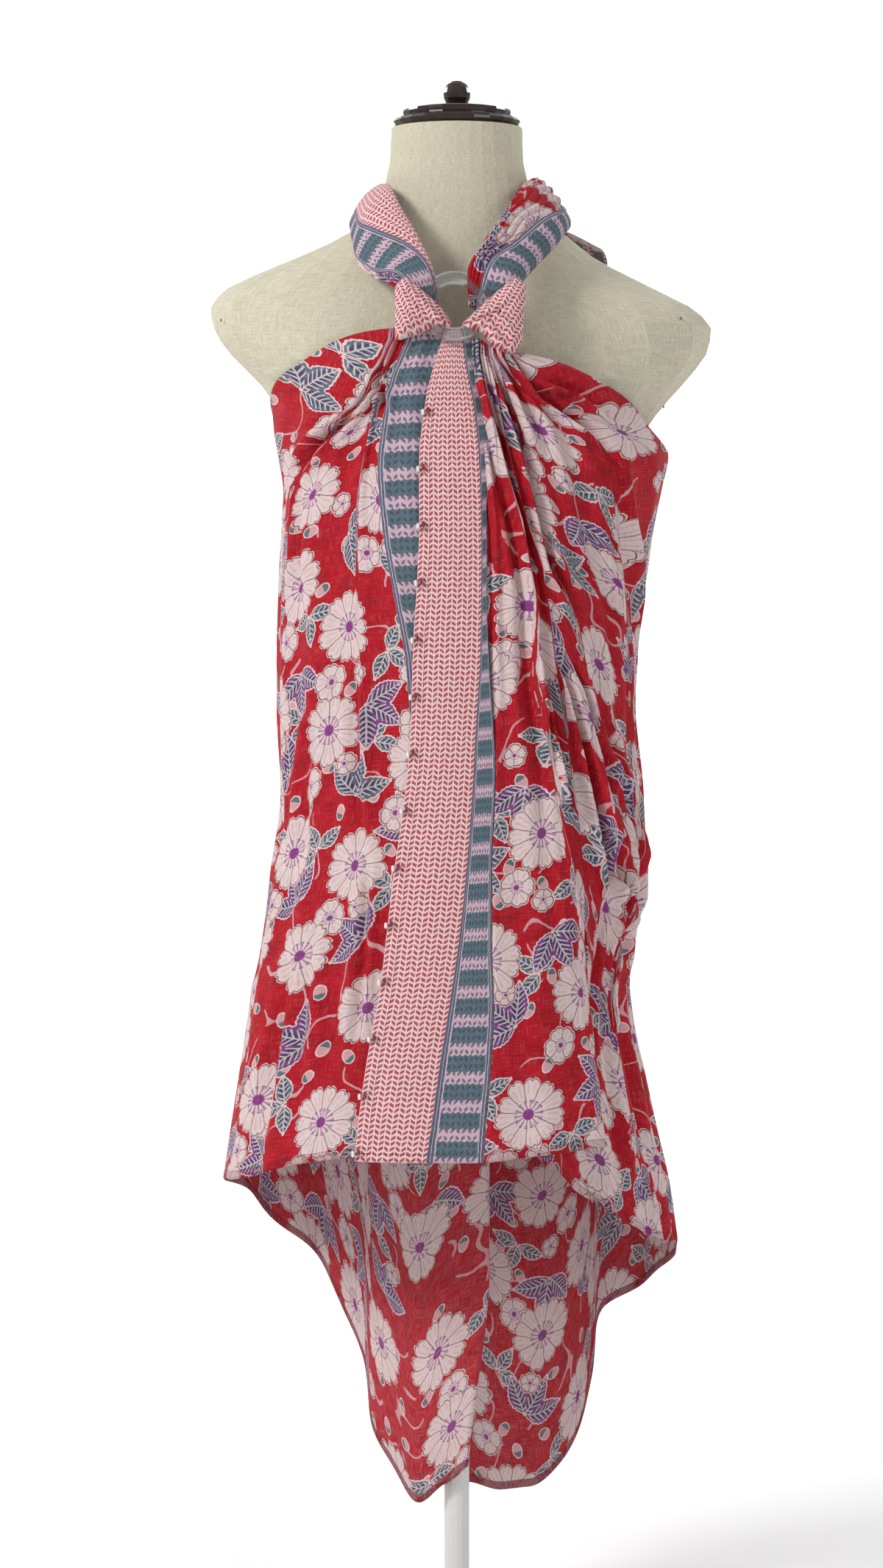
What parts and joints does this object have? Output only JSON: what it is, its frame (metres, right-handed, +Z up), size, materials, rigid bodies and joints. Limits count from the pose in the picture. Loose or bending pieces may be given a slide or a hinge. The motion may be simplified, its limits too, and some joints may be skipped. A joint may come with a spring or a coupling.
{
  "type": "halter-tied sarong on a limbless dress form",
  "caption": "Block-printed cotton sarong tied halter-style through a clear ring, worn on a limbless linen dress form with a plain stand.",
  "frame": {"origin": "on the floor, at the middle of the form from side to side, on the underside of the stand's base", "axes": "+Z up, -Y the front of the form, +X to the right as seen from the front"},
  "size_m": [0.3895, 0.3592, 1.228],
  "materials": {
    "printed_cotton": "red cotton voile with a floral block print",
    "border_cotton": "pink and white chevron block print",
    "linen": "plain cream weave",
    "dark_wood": "dark gloss varnish",
    "clear_ring": "clear polished",
    "stand_metal": "pale satin paint"
  },
  "bodies": {
    "root": {"left_front_panel": "printed_cotton", "right_front_panel": "printed_cotton", "front_border_strip": "border_cotton", "back_panel": "printed_cotton", "left_knot": "border_cotton", "right_knot": "border_cotton", "left_halter": "printed_cotton", "right_halter": "printed_cotton", "nape_knot": "printed_cotton", "nape_end_left": "printed_cotton", "nape_end_right": "printed_cotton", "ring": "clear_ring", "form_torso": "linen", "neck_cap": "dark_wood", "cap_finial": "dark_wood", "stand_pole": "stand_metal", "stand_base": "stand_metal"}
  },
  "joints": []
}
